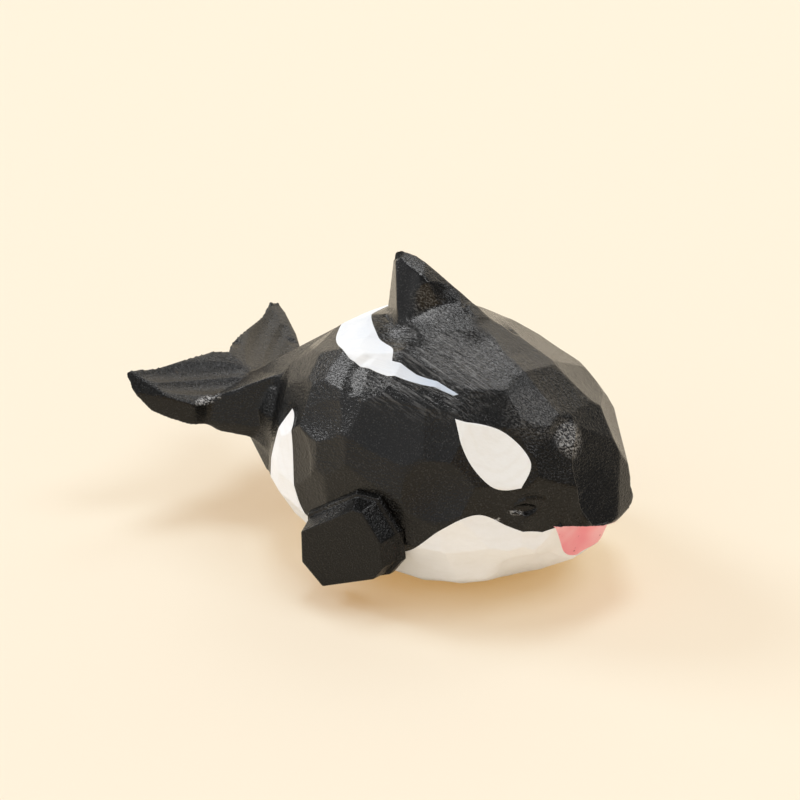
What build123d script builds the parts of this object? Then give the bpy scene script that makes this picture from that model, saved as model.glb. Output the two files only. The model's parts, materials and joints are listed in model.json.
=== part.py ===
from build123d import *
import os
from math import cos, radians, sin, tan
from random import Random

os.makedirs("parts", exist_ok=True)

# A carved wooden orca, in millimetres. It faces +X, its right flank is -Y, and the
# origin is the middle of the flat facet under the belly that it rests on.
RIGHT, LEFT = -1, 1

# Trunk: the egg-like form that the knife works down to
WIDEST_LEVEL = 17.3
HALF_WIDTH = 26.0
HEIGHT_ABOVE = 27.8
DEPTH_BELOW = 17.8
NOSE_REACH = 36.8
REAR_REACH = 31.7
NOSE_ROUNDNESS = 1.96
REAR_ROUNDNESS = 1.83
ROUNDNESS_ABOVE = 2.07
ROUNDNESS_BELOW = 2.45

# Knife work: unevenness of the hand, and the thickness of the brushed paint coats
CUT_TILT = 1.8
SHALLOWEST_CUT = -0.1
DEEPEST_CUT = 0.5
LEFT_BROW_STATIONS = (30, 50)
LEFT_BROW_FULLER = {35: 0.6, 53: 1.1}
COAT = 0.3
REACH = 60.0

# Strokes along the trunk: roll of the strip, its first station and their step, in degrees
STRIPS = (
    (90, -60, 15.2),
    (71, -54, 12.0),
    (53, -40, 12.4),
    (35, -52, 15.0),
    (16, -62, 17.5),
    (-3, -65, 17.0),
    (-22, -60, 16.0),
    (-42, -66, 17.0),
    (-65, -56, 18.0),
    (-90, -66, 18.0),
)
LAST_STATION = 80
THIN_AT = 52
THINNER_AT = 70

# Flippers: a flat seat on each flank, a chunky paddle and a hidden peg
SEAT_OFFSET = 25.2
PADDLE_THICKNESS = 4.8
ROOT_STEP = 1.2
ROOT_LEDGE = 0.5
PEG_DIAMETER = 3.0
PEG_IN_BODY = 5.0
PEG_IN_PADDLE = 3.0
PEG_PLAY = 0.05
PEG_AT = (3.0, 15.5)

# Mouth: the underside of the overhanging lip and the jaw face below it, on the left side
LIP_CUT = ((36.6, 0, 14.6), (30, 0, 14.6), (32, 12.4, 17.3))
JAW_CUT = ((35.4, 0, 13.6), (33.9, 0, 8.9), (32.5, 12.4, 16.4))
PINK_OUTLINE = ((12.8, 17.39), (11.9, 15.4), (10.7, 13.2), (9, 11.2), (5.5, 9.9), (0, 9.6))

# Eye: a short gouge stroke on each cheek
EYE_AT = (29.0, 20.8)
EYE_OUT = 16.0
EYE_LENGTH = 5.4
EYE_HEIGHT = 2.4
EYE_DEPTH = 0.9


def mirrored(point, side):
    """A point given for the left flank, moved to the wanted flank."""
    x, y, z = point
    return Vector(x, side * y, z)


def egg_cut(station, roll):
    """Point and outward direction of the trunk's form at a station and roll angle."""
    reach = NOSE_REACH if station > 0 else REAR_REACH
    along = NOSE_ROUNDNESS if station > 0 else REAR_ROUNDNESS
    around = ROUNDNESS_ABOVE if roll > 0 else ROUNDNESS_BELOW
    height = HEIGHT_ABOVE if roll > 0 else DEPTH_BELOW
    part_along = abs(sin(radians(station)))
    out, up = cos(radians(roll)), sin(radians(roll))
    fullness = (out / HALF_WIDTH) ** around + (abs(up) / height) ** around
    radius = ((1 - part_along**along) / fullness) ** (1 / around)
    y, z = out * radius, up * radius
    forward = 1 if station > 0 else -1
    slope = Vector(
        forward * along * part_along ** (along - 1) / reach,
        around * (y / HALF_WIDTH) ** (around - 1) / HALF_WIDTH,
        (1 if up > 0 else -1) * around * (abs(z) / height) ** (around - 1) / height,
    )
    return Vector(forward * reach * part_along, y, WIDEST_LEVEL + z), slope.normalized()


def strip_stations(strip, first, step):
    """Stations of one strip, with fewer of them where the trunk tapers to its ends."""
    station = first
    while station <= LAST_STATION:
        crowded = abs(station) > THIN_AT and strip % 2
        packed = abs(station) > THINNER_AT and strip % 3
        if not crowded and not packed:
            yield station
        station += step


def brow_fullness(roll, station):
    """How much wood the carver left above the plain form on the left brow."""
    first, last = LEFT_BROW_STATIONS
    return LEFT_BROW_FULLER.get(roll, 0) if first < station < last else 0


def trunk_cuts():
    """Every knife cut on the trunk as a point and an outward direction."""
    hand = Random(3)
    cuts = []
    for strip, (roll, first, step) in enumerate(STRIPS):
        for station in strip_stations(strip, first, step):
            for side in (RIGHT, LEFT) if abs(roll) < 90 else (RIGHT,):
                point, outward = egg_cut(station, roll)
                wobble = Vector(*(hand.uniform(-1, 1) for axis in "xyz")) * tan(radians(CUT_TILT))
                outward = (outward + wobble).normalized()
                depth = hand.uniform(SHALLOWEST_CUT, DEEPEST_CUT)
                if side == LEFT:
                    depth -= brow_fullness(roll, station)
                point -= outward * depth
                cuts.append((mirrored(point, side), mirrored(outward, side)))
    return cuts


def outward_plane(middle, corners):
    """Plane through three corners that faces away from a point inside the form."""
    first, second, third = (Vector(corner) for corner in corners)
    outward = (second - first).cross(third - first).normalized()
    if outward.dot(Vector(middle) - first) > 0:
        outward = outward * -1
    return Plane(origin=first, z_dir=outward)


def slice_off(middle, *corners):
    """One flat cut through three corners, which keeps the side of the middle."""
    split(bisect_by=outward_plane(middle, corners), keep=Keep.BOTTOM)


def slice_both_flanks(middle, *corners):
    """The same cut on the left flank and, mirrored, on the right one."""
    for side in (RIGHT, LEFT):
        slice_off(middle, *(tuple(mirrored(corner, side)) for corner in corners))


# Cuts that shape the trunk beyond its plain egg form, given for the left flank
TRUNK_MIDDLE = (0, 0, 20)
CHIN_CUT = ((33.2, 0, 6.7), (30.5, 10, 8.5), (22, 8, 1.1))
SEAT_CUT = ((0, SEAT_OFFSET, 10), (5, SEAT_OFFSET, 10), (0, SEAT_OFFSET, 20))


def carve_trunk(inset):
    """Cut the blank in the current block down to the trunk, less an even inset."""
    planes = [Plane(origin=point, z_dir=outward) for point, outward in trunk_cuts()]
    for side in (RIGHT, LEFT):
        for corners in (CHIN_CUT, SEAT_CUT):
            flank = [tuple(mirrored(corner, side)) for corner in corners]
            planes.append(outward_plane(TRUNK_MIDDLE, flank))
    planes.append(Plane(origin=(0, 0, 0), z_dir=(0, 0, -1)))
    for plane in planes:
        split(bisect_by=plane.offset(-inset), keep=Keep.BOTTOM)


with BuildPart() as trunk:
    Box(2 * REACH, 2 * REACH, REACH, align=(Align.CENTER, Align.CENTER, Align.MIN))
    carve_trunk(0)

with BuildPart() as trunk_under_paint:
    Box(2 * REACH, 2 * REACH, REACH, align=(Align.CENTER, Align.CENTER, Align.MIN))
    carve_trunk(COAT)

# Dorsal fin, with flat-cut tip, and the wedge that runs from it into the forehead
FIN_MIDDLE = (-3, 0, 45)
FIN_FOOT = 38
with BuildPart() as dorsal_fin:
    with Locations((0, 0, FIN_FOOT)):
        Box(28, 40, 20, align=(Align.CENTER, Align.CENTER, Align.MIN))
    slice_both_flanks(FIN_MIDDLE, (-7.6, 1.3, 53.8), (-3, 2.2, 52.9), (-2.5, 8.3, 43.8))
    slice_both_flanks(FIN_MIDDLE, (-9.2, 0, 53), (-10.4, 0, 44.2), (-2.5, 8.3, 43.8))
    slice_both_flanks(FIN_MIDDLE, (-1.5, 1.3, 53.1), (9, 1.8, 45.9), (5, 9.3, 42.7))
    slice_off(FIN_MIDDLE, (-1.3, -1, 52.3), (-1.3, 1, 52.3), (4, 0, 48.2))
    slice_off(FIN_MIDDLE, (-1.6, 4, 49.4), (-0.2, 5.5, 47.1), (2, 6, 45.6))
    slice_off(FIN_MIDDLE, (-6.9, 0.6, 54.5), (-0.8, 0.6, 53.0), (-2.9, -2.2, 52.7))

ROOT_MIDDLE = (8, 0, 42)
with BuildPart() as fin_root:
    with Locations((14, 0, FIN_FOOT - 2)):
        Box(22, 30, 20, align=(Align.CENTER, Align.CENTER, Align.MIN))
    slice_both_flanks(ROOT_MIDDLE, (4, 1.9, 48.9), (16, 2.6, 42.7), (9, 6, 43))
    slice_off(ROOT_MIDDLE, (5, -1, 47.9), (5, 1, 47.9), (16, 0, 42.0))

# Blunt lip band that overhangs the mouth
LIP_MIDDLE = (32, 0, 17)
with BuildPart() as lip_band:
    with Locations((29, 0, 12)):
        Box(9, 40, 16, align=(Align.MIN, Align.CENTER, Align.MIN))
    slice_both_flanks(LIP_MIDDLE, (37.4, 0, 15), (36.6, 8, 15.5), (36.9, 2, 21))
    slice_both_flanks(LIP_MIDDLE, (36.6, 8, 15.5), (33.8, 12.4, 16), (34.3, 8.9, 21))
    slice_both_flanks(LIP_MIDDLE, (33.8, 12.4, 16), (31.0, 14.8, 16.5), (31.8, 12.0, 21))
    slice_both_flanks(LIP_MIDDLE, (36.8, 0, 20.4), (34.4, 8.6, 20.4), (33.4, 0, 25))
    slice_both_flanks(LIP_MIDDLE, (36, 0, 14.2), (30, 0, 14.2), (32, 12.4, 16.9))

# Tail: the stock, the web that blends it into the rump, the root where it widens again
# towards the flukes, and two fluke lobes
STOCK_MIDDLE = (-30, 0, 20)
with BuildPart() as tail_stock:
    with Locations((-32.5, 0, 5)):
        Box(25, 40, 40, align=(Align.CENTER, Align.CENTER, Align.MIN))
    slice_both_flanks(STOCK_MIDDLE, (-31, 0, 31.1), (-31.2, 7, 27.7), (-19.4, 1.4, 38.3))
    slice_both_flanks(STOCK_MIDDLE, (-31, 7.2, 28.2), (-25.2, 11, 24.5), (-38, 8.8, 15.5))
    slice_both_flanks(STOCK_MIDDLE, (-42, 8, 16.5), (-42, 5, 14.4), (-30, 8, 12.5))
    slice_off(STOCK_MIDDLE, (-42, -8, 14.4), (-30, -10, 12.1), (-30, 10, 12.1))
    slice_off(STOCK_MIDDLE, (-46, 0, 20.5), (-39, -6, 14.2), (-39, 6, 14.2))

WEB_MIDDLE = (-28, 0, 17)
with BuildPart() as tail_web:
    with Locations((-29.5, 0, 5)):
        Box(17, 40, 30, align=(Align.CENTER, Align.CENTER, Align.MIN))
    slice_both_flanks(WEB_MIDDLE, (-37, 8.3, 15.5), (-37, 8, 24.5), (-24, 14.2, 19.5))
    slice_both_flanks(WEB_MIDDLE, (-37, 8.2, 22), (-24, 14.2, 20.5), (-24.7, 10, 27.7))
    slice_off(WEB_MIDDLE, (-38, 0, 23.8), (-24.7, -10, 27.8), (-24.7, 10, 27.8))
    slice_off(WEB_MIDDLE, (-37.5, 0, 15.7), (-31.3, 11, 11.8), (-31.3, -11, 11.8))
    slice_off(WEB_MIDDLE, (-30, 11, 10.9), (-30, -11, 10.9), (-20, 0, 9.4))

ROOT_OF_FLUKES_MIDDLE = (-37, 0, 19)
with BuildPart() as fluke_root:
    with Locations((-36.5, 0, 5)):
        Box(12, 40, 40, align=(Align.CENTER, Align.CENTER, Align.MIN))
    slice_both_flanks(ROOT_OF_FLUKES_MIDDLE, (-31, 10.2, 19), (-42.5, 14.4, 19), (-36, 10.3, 25))
    slice_both_flanks(ROOT_OF_FLUKES_MIDDLE, (-31, 10.3, 18), (-42.5, 14.5, 18), (-36, 10.4, 13.8))
    slice_both_flanks(ROOT_OF_FLUKES_MIDDLE, (-31.2, 7, 27.9), (-39.6, 9, 24), (-39.6, 0, 24.6))
    slice_off(ROOT_OF_FLUKES_MIDDLE, (-42.5, -12, 16.7), (-42.5, 12, 16.7), (-31, 0, 15.4))
    slice_off(ROOT_OF_FLUKES_MIDDLE, (-46, 0, 21), (-40, -8, 15.8), (-40, 8, 15.8))

LOBE_MIDDLE = (-46, 9, 23)
LOBE_OUTLINE = (
    (-37.5, 0),
    (-37.5, 4),
    (-40.3, 10.8),
    (-42.6, 16.2),
    (-46.3, 19.4),
    (-51.4, 22.5),
    (-53.6, 23.2),
    (-54.4, 21.6),
    (-52.2, 16),
    (-50.6, 8.6),
    (-49.4, 3),
    (-47.6, 0),
)
with BuildPart() as fluke_lobe_left:
    with BuildSketch(Plane.XY.offset(10)):
        Polygon(*LOBE_OUTLINE, align=None)
    extrude(amount=25)
    slice_off(LOBE_MIDDLE, (-54, 22, 27.9), (-50.6, 7.2, 27.4), (-42.8, 15.3, 22.4))
    slice_off(LOBE_MIDDLE, (-46.8, 19.7, 19.9), (-42.3, 15.8, 17.6), (-50, 5, 22.5))
    slice_off(LOBE_MIDDLE, (-53.9, 22.8, 27.2), (-48.5, 19.8, 20), (-52, 15, 23.2))

# The right lobe also has a bevel at its tip
with BuildPart() as fluke_lobe_right:
    add(mirror(fluke_lobe_left.part, about=Plane.XZ, mode=Mode.PRIVATE))
    slice_off((-46, -9, 23), (-53.6, -20.9, 27.8), (-46.3, -19.3, 23.9), (-53.2, -22.9, 25.6))

CARVED_MASSES = (
    dorsal_fin,
    fin_root,
    tail_stock,
    tail_web,
    fluke_root,
    fluke_lobe_left,
    fluke_lobe_right,
)

# Mouth: the space under the overhanging lip and before the jaw
MOUTH_MIDDLE = (39, 6, 10)


def mouth_space(deeper):
    """The space below the lip and before the jaw, with the jaw's face set deeper."""
    with BuildPart() as half:
        with Locations((25, 0, 0)):
            Box(30, 30, 20, align=(Align.MIN, Align.MIN, Align.MIN))
        slice_off(MOUTH_MIDDLE, *LIP_CUT)
        jaw = outward_plane(MOUTH_MIDDLE, JAW_CUT)
        split(bisect_by=jaw.offset(deeper), keep=Keep.BOTTOM)
    with BuildPart() as space:
        add(half.part)
        mirror(about=Plane.XZ)
    return space


mouth_gap = mouth_space(0)

# Paint coats lie flush in the wood: outlines in side view (x, z) or from above (x, y)
EYE_PATCH_TOP = ((15.7, 34.7), (22.7, 33.2), (28.3, 28.6), (28.2, 24.6))
EYE_PATCH_FOOT = ((28.2, 24.6), (24.6, 24.4), (19.8, 28.3), (15.7, 34.7))
BELLY_CHEEK = ((31.2, 16.3), (26.7, 17.8), (22, 19.6), (17, 16.6), (10, 10.6), (0, 8))
BELLY_RUMP = ((0, 8), (-10, 10.6), (-14.4, 16), (-17.2, 26), (-19.3, 27.7))
BELLY_REAR = ((-19.3, 27.7), (-22.2, 22.6), (-24.6, 12), (-26, 0))
SADDLE_REAR = ((-19.6, 0), (-15.9, 8.3), (-8.3, 14.5), (1, 16.4))
SADDLE_STROKE = ((1, 16.4), (6, 15.9), (14.1, 15.1), (14.3, 14.3), (6, 14.8), (0.5, 14.2))
SADDLE_FRONT = ((0.5, 14.2), (-1.2, 11.8), (-6, 9.3), (-11.2, 4), (-12.3, 0))

LIP_BACK = 29.5
with BuildPart() as black_lip:
    with Locations((LIP_BACK, 0, 10)):
        Box(15, 40, 20, align=(Align.MIN, Align.CENTER, Align.MIN))
    slice_both_flanks(LIP_MIDDLE, *LIP_CUT)

with BuildPart() as bare_wood:
    add(trunk_under_paint.part)
    add(mouth_space(COAT).part, mode=Mode.SUBTRACT)
    for mass in (*CARVED_MASSES, black_lip):
        add(mass.part)

with BuildPart() as paint_skin:
    add(trunk.part)
    add(mouth_gap.part, mode=Mode.SUBTRACT)
    add(bare_wood.part, mode=Mode.SUBTRACT)

with BuildPart() as mouth_pink:
    add(paint_skin.part)
    with BuildSketch(Plane.YZ.offset(28)):
        with BuildLine():
            Spline(*PINK_OUTLINE)
            Polyline(PINK_OUTLINE[-1], (0, LIP_CUT[0][2]), PINK_OUTLINE[0])
        make_face()
        mirror(about=Plane.YZ)
    extrude(amount=12, mode=Mode.INTERSECT)

with BuildPart() as white_belly:
    add(paint_skin.part)
    with BuildSketch(Plane.XZ):
        with BuildLine():
            cheek = Spline(*BELLY_CHEEK)
            Spline(*BELLY_RUMP)
            rear = Spline(*BELLY_REAR)
            Polyline(rear @ 1, (REACH, 0), (REACH, 17.2), (33.4, 17.2), cheek @ 0)
        make_face()
    extrude(amount=REACH, both=True, mode=Mode.INTERSECT)
    add(mouth_pink.part, mode=Mode.SUBTRACT)

with BuildPart() as white_saddle:
    add(paint_skin.part)
    with BuildSketch(Plane.XY.offset(35)):
        with BuildLine():
            Spline(*SADDLE_REAR)
            Polyline(*SADDLE_STROKE)
            Spline(*SADDLE_FRONT)
            Line(SADDLE_FRONT[-1], SADDLE_REAR[0])
        make_face()
        mirror(about=Plane.XZ)
    extrude(amount=15, mode=Mode.INTERSECT)


def eye_patch(side):
    """The white teardrop behind and above one eye."""
    with BuildPart() as patch:
        add(paint_skin.part)
        with BuildSketch(Plane.XZ):
            with BuildLine():
                Spline(*EYE_PATCH_TOP)
                Spline(*EYE_PATCH_FOOT)
            make_face()
        extrude(amount=-side * REACH, mode=Mode.INTERSECT)
    return patch


eye_patch_right = eye_patch(RIGHT)
eye_patch_left = eye_patch(LEFT)


def seat_plane(side):
    """The flat seat of a flipper, seen from outside with +X to the right or left."""
    return Plane(origin=(0, side * SEAT_OFFSET, 0), x_dir=(1, 0, 0), z_dir=(0, side, 0))


# Paddle: corners of its outer face in side view, x along the body and z up, each with
# how much further out the side that starts there stands at the root
PADDLE_SIDES = (
    (-7.8, 11.8, 1.0),
    (-7.7, 6, 0.6),
    (-3.3, 2.5, 0.2),
    (7.6, 7.2, 0.5),
    (9.7, 10, 1.0),
    (9.2, 14.5, 1.2),
    (5.2, 19.3, 1.0),
    (3.4, 19.2, 2.0),
)
PADDLE_MIDDLE = (1, 27, 11)


def paddle_cuts(side, wider=0.0):
    """Corners of the flat cut along each side of the paddle's outline."""
    outer = SEAT_OFFSET + PADDLE_THICKNESS
    following = PADDLE_SIDES[1:] + PADDLE_SIDES[:1]
    for (x, z, spread), (next_x, next_z, _) in zip(PADDLE_SIDES, following):
        away = Vector(next_z - z, 0, x - next_x).normalized()
        if away.dot(Vector(PADDLE_MIDDLE[0] - x, 0, PADDLE_MIDDLE[2] - z)) > 0:
            away = away * -1
        start = Vector(x, outer, z) + away * wider
        end = Vector(next_x, outer, next_z) + away * wider
        root = Vector(x, SEAT_OFFSET, z) + away * (spread + wider)
        yield [tuple(mirrored(tuple(corner), side)) for corner in (start, end, root)]


def flipper(side):
    """One carved paddle with a stepped root, bored for its peg."""
    seat = seat_plane(side)
    middle = tuple(mirrored(PADDLE_MIDDLE, side))
    with BuildPart() as root_step:
        with BuildSketch(seat):
            Rectangle(REACH, REACH)
        extrude(amount=ROOT_STEP)
        for corners in paddle_cuts(side, ROOT_LEDGE):
            slice_off(middle, *corners)
    with BuildPart() as paddle:
        with BuildSketch(seat):
            Rectangle(REACH, REACH)
        extrude(amount=PADDLE_THICKNESS)
        for corners in paddle_cuts(side):
            slice_off(middle, *corners)
        add(root_step.part)
        with BuildSketch(seat):
            with Locations((PEG_AT[0], -side * PEG_AT[1])):
                Circle(PEG_DIAMETER / 2 + PEG_PLAY)
        extrude(amount=PEG_IN_PADDLE, mode=Mode.SUBTRACT)
    return paddle


def flipper_peg(side):
    """The short dowel that locates a flipper on its seat."""
    with BuildPart() as peg:
        with BuildSketch(seat_plane(side).offset(-PEG_IN_BODY)):
            with Locations((PEG_AT[0], -side * PEG_AT[1])):
                Circle(PEG_DIAMETER / 2)
        extrude(amount=PEG_IN_BODY + PEG_IN_PADDLE)
    return peg


flipper_right = flipper(RIGHT)
flipper_left = flipper(LEFT)
flipper_peg_right = flipper_peg(RIGHT)
flipper_peg_left = flipper_peg(LEFT)


def eye_plane(side):
    """A plane square to the cheek at one eye."""
    out = Vector(0.69, side * 0.72, 0.08)
    return Plane(
        origin=(EYE_AT[0], side * EYE_OUT, EYE_AT[1]),
        x_dir=Vector(0, 0, 1).cross(out),
        z_dir=out,
    )


# The body: one block of wood that carries every carved mass, less what is let into it
with BuildPart() as carved_body:
    add(trunk.part)
    for mass in (*CARVED_MASSES, lip_band):
        add(mass.part)
    add(mouth_gap.part, mode=Mode.SUBTRACT)
    for side in (RIGHT, LEFT):
        with BuildSketch(seat_plane(side).offset(-PEG_IN_BODY)):
            with Locations((PEG_AT[0], -side * PEG_AT[1])):
                Circle(PEG_DIAMETER / 2 + PEG_PLAY)
        extrude(amount=PEG_IN_BODY, mode=Mode.SUBTRACT)
        with BuildSketch(eye_plane(side)):
            Ellipse(EYE_LENGTH / 2, EYE_HEIGHT / 2)
        extrude(amount=-EYE_DEPTH, taper=35, mode=Mode.SUBTRACT)
        with BuildSketch(eye_plane(side)):
            Ellipse(EYE_LENGTH / 2, EYE_HEIGHT / 2)
        extrude(amount=EYE_DEPTH * 4, taper=-35, mode=Mode.SUBTRACT)
    for coat in (white_belly, white_saddle, eye_patch_right, eye_patch_left, mouth_pink):
        add(coat.part, mode=Mode.SUBTRACT)

PIECES = {
    "carved_body": carved_body,
    "flipper_right": flipper_right,
    "flipper_left": flipper_left,
    "flipper_peg_right": flipper_peg_right,
    "flipper_peg_left": flipper_peg_left,
    "white_belly": white_belly,
    "white_saddle": white_saddle,
    "eye_patch_right": eye_patch_right,
    "eye_patch_left": eye_patch_left,
    "mouth_pink": mouth_pink,
}
for name, piece in PIECES.items():
    piece.part.label = name
    export_step(piece.part, f"parts/{name}.step")
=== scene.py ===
"""A carved and painted wooden orca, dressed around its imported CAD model.

The block is the CAD form with soft knife ridges and shallow scoops. The white and pink
coats are thin films on it, the flippers are their own pieces, and the pegs stay as packed.
"""

import json
import logging
import math
import random
from dataclasses import dataclass, field, replace
from enum import Enum
from typing import Iterable, Sequence

import bmesh
import bpy
import numpy as np
from bpy.types import ID, Material, Mesh, Node, NodeSocket, NodeTree, Object
from mathutils import Matrix, Vector
from mathutils.bvhtree import BVHTree

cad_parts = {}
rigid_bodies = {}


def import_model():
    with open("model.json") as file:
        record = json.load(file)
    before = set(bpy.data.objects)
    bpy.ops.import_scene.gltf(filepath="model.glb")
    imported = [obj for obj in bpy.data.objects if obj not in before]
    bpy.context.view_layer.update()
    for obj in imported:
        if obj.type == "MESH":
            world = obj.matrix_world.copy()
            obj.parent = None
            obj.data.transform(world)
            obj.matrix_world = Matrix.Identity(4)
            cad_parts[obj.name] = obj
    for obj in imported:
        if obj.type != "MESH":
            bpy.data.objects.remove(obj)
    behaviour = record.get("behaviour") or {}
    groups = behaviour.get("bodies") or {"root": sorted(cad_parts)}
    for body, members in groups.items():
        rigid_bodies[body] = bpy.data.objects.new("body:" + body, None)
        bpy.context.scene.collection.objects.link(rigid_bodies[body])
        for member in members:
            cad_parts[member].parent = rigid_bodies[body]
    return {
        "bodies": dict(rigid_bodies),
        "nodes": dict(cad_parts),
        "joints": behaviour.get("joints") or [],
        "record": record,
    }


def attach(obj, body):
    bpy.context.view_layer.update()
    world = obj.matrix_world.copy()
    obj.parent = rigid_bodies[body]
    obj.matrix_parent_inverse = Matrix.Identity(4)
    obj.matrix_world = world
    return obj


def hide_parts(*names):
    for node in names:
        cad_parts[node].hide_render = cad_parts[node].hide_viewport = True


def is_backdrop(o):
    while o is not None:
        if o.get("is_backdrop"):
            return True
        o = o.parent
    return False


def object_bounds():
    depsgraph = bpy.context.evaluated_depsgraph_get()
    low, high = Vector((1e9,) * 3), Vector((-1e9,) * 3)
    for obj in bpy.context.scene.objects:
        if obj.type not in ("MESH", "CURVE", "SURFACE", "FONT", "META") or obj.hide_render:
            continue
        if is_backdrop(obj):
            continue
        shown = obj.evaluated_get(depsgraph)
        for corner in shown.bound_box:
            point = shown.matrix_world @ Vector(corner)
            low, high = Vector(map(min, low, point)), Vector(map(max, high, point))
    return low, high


MM = 0.001
WELD = 0.0005
FACET_WELD = 0.002
LOG = logging.getLogger("orca")

Pair = tuple[float, float]
Triple = tuple[float, float, float]
Colour = tuple[float, float, float]
Curve = tuple[Pair, ...]
Path = tuple[Triple, ...]


class Flank(Enum):
    """The two sides of the figure; the right flank faces the camera."""

    RIGHT = -1
    LEFT = 1


class Slot(Enum):
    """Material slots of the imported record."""

    BLACK = "black_painted_wood"
    WHITE = "white_paint"
    PINK = "pink_paint"


# Shader building


@dataclass
class Nodes:
    """Adds and links nodes in one tree."""

    tree: NodeTree

    def add(self, kind: str, **settings: object) -> Node:
        """Add a node and set its properties.

        Args:
            kind: Node type, such as ShaderNodeMath.
            settings: Properties by name.

        Returns:
            The new node.
        """
        node = self.tree.nodes.new(kind)
        for name, value in settings.items():
            setattr(node, name, value)
        return node

    def link(self, source: object, target: object) -> None:
        """Link an output socket to an input socket."""
        self.tree.links.new(source, target)

    def feed(self, target: object, value: object) -> None:
        """Link a socket, or set a plain value, on an input.

        Args:
            target: The input socket.
            value: An output socket or a plain value.
        """
        if isinstance(value, NodeSocket):
            self.link(value, target)
        else:
            target.default_value = value

    def math(self, operation: str, *values: object, clamp: bool = False) -> object:
        """A math node.

        Args:
            operation: Blender's name for the operation.
            values: One to three sockets or numbers.
            clamp: Whether to clamp the result to 0 and 1.

        Returns:
            The output socket.
        """
        node = self.add("ShaderNodeMath", operation=operation, use_clamp=clamp)
        for target, value in zip(node.inputs, values):
            self.feed(target, value)
        return node.outputs[0]

    def remap(self, value: object, low: float, high: float, to_low: float = 0.0,
              to_high: float = 1.0, smooth: bool = False) -> object:
        """Map a value from one range to another, clamped.

        Args:
            value: Socket to map.
            low: Input that gives to_low.
            high: Input that gives to_high.
            to_low: Output at low.
            to_high: Output at high.
            smooth: Whether to ease in and out.

        Returns:
            The output socket.
        """
        node = self.add("ShaderNodeMapRange", interpolation_type="SMOOTHSTEP" if smooth else "LINEAR")
        for target, number in zip(node.inputs, (value, low, high, to_low, to_high)):
            self.feed(target, number)
        return node.outputs[0]

    def mix(self, factor: object, first: object, second: object) -> object:
        """Mix two colours.

        Args:
            factor: Socket or number from 0 to 1.
            first: Colour at 0.
            second: Colour at 1.

        Returns:
            The output socket.
        """
        node = self.add("ShaderNodeMix", data_type="RGBA")
        # The node lists its sockets for each kind of data, and the colours are 6 and 7.
        self.feed(node.inputs[0], factor)
        for target, colour in ((node.inputs[6], first), (node.inputs[7], second)):
            plain = isinstance(colour, tuple)
            self.feed(target, (*colour, 1.0) if plain and len(colour) == 3 else colour)
        return node.outputs[2]

    def place(self, vector: object, scale: Triple = (1, 1, 1), turn: Triple = (0, 0, 0),
              shift: object = (0, 0, 0)) -> object:
        """Stretch, turn and shift coordinates.

        Args:
            vector: Coordinates.
            scale: Factor along each axis.
            turn: Degrees about each axis.
            shift: Offset in metres, plain or as a socket.

        Returns:
            The new coordinates.
        """
        node = self.add("ShaderNodeMapping", vector_type="POINT")
        self.feed(node.inputs["Vector"], vector)
        node.inputs["Scale"].default_value = scale
        node.inputs["Rotation"].default_value = [math.radians(angle) for angle in turn]
        self.feed(node.inputs["Location"], shift)
        return node.outputs[0]


@dataclass(frozen=True)
class Speckle:
    """A noise, stretched and turned, then cut into a mask.

    The scale is in features per metre. The mask is 0 at the low noise value and 1 at the high one,
    and a stretch below 1 draws the features out.
    """

    scale: float
    low: float
    high: float
    detail: float
    rough: float = 0.5
    warp: float = 0.0
    stretch: Triple = (1, 1, 1)
    turn: Triple = (0, 0, 0)
    smooth: bool = False

    def mask(self, nodes: Nodes, position: object) -> object:
        """The mask in a node tree.

        Args:
            nodes: Helper of the tree.
            position: Coordinates.

        Returns:
            The mask's socket.
        """
        noise = nodes.add("ShaderNodeTexNoise", noise_dimensions="3D")
        nodes.link(nodes.place(position, self.stretch, self.turn), noise.inputs["Vector"])
        settings = (("Scale", self.scale), ("Detail", self.detail), ("Roughness", self.rough),
                    ("Distortion", self.warp))
        for name, value in settings:
            noise.inputs[name].default_value = value
        return nodes.remap(noise.outputs[0], self.low, self.high, smooth=self.smooth)


PORES = Speckle(2700, 0.30, 0.70, 2.0, 0.6, 0.3, stretch=(0.6, 1, 1))
FIBRES = Speckle(1700, 0.34, 0.66, 2.0, 0.55, 0.25, stretch=(0.06, 1, 1), turn=(0, 0, 3))
MOTTLE = Speckle(130, 0.35, 0.65, 2.0, stretch=(0.7, 1, 1), smooth=True)
WORN_PATCHES = Speckle(420, 0.48, 0.62, 3.0, 0.6)
WORN_RIDGE = (0.535, 0.60)
# Fine specks that stand for dust and for painted micro-glints.
DUST_AND_GLINT_SPECKS = Speckle(3600, 0.56, 0.74, 1.0)
# Brush strokes that carry a painted highlight.
BRUSH_STROKE_SHEEN = Speckle(2700, 0.50, 0.66, 1.5, stretch=(0.05, 1, 1))
BRUSH_TURN = (0, -15, 6)
# Scratch marks in which painted glints and highlights show.
GLINT_SCRATCHES = Speckle(3300, 0.47, 0.62, 2.0, 0.6, 0.4, stretch=(0.4, 1, 1))
SPECKED_AREAS = Speckle(500, 0.50, 0.57, 1.0)


def new_group(name: str, inputs: Sequence[tuple[str, str, object]],
              outputs: Sequence[tuple[str, str]]) -> tuple[NodeTree, Nodes, dict, dict]:
    """Start a shader node group with named sockets.

    Args:
        name: Name of the group.
        inputs: Name, socket type and default of each input.
        outputs: Name and socket type of each output.

    Returns:
        The tree, its helper, the input sockets and the output sockets by name.
    """
    tree = bpy.data.node_groups.new(name, "ShaderNodeTree")
    for label, kind, default in inputs:
        socket = tree.interface.new_socket(label, in_out="INPUT", socket_type=kind)
        socket.default_value = default
    for label, kind in outputs:
        tree.interface.new_socket(label, in_out="OUTPUT", socket_type=kind)
    nodes = Nodes(tree)
    source = nodes.add("NodeGroupInput")
    target = nodes.add("NodeGroupOutput")
    return tree, nodes, dict(source.outputs.items()), dict(target.inputs.items())


FLOAT = "NodeSocketFloat"
POINT = "NodeSocketVector"
PLACE = ("Position", POINT, (0, 0, 0))


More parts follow.
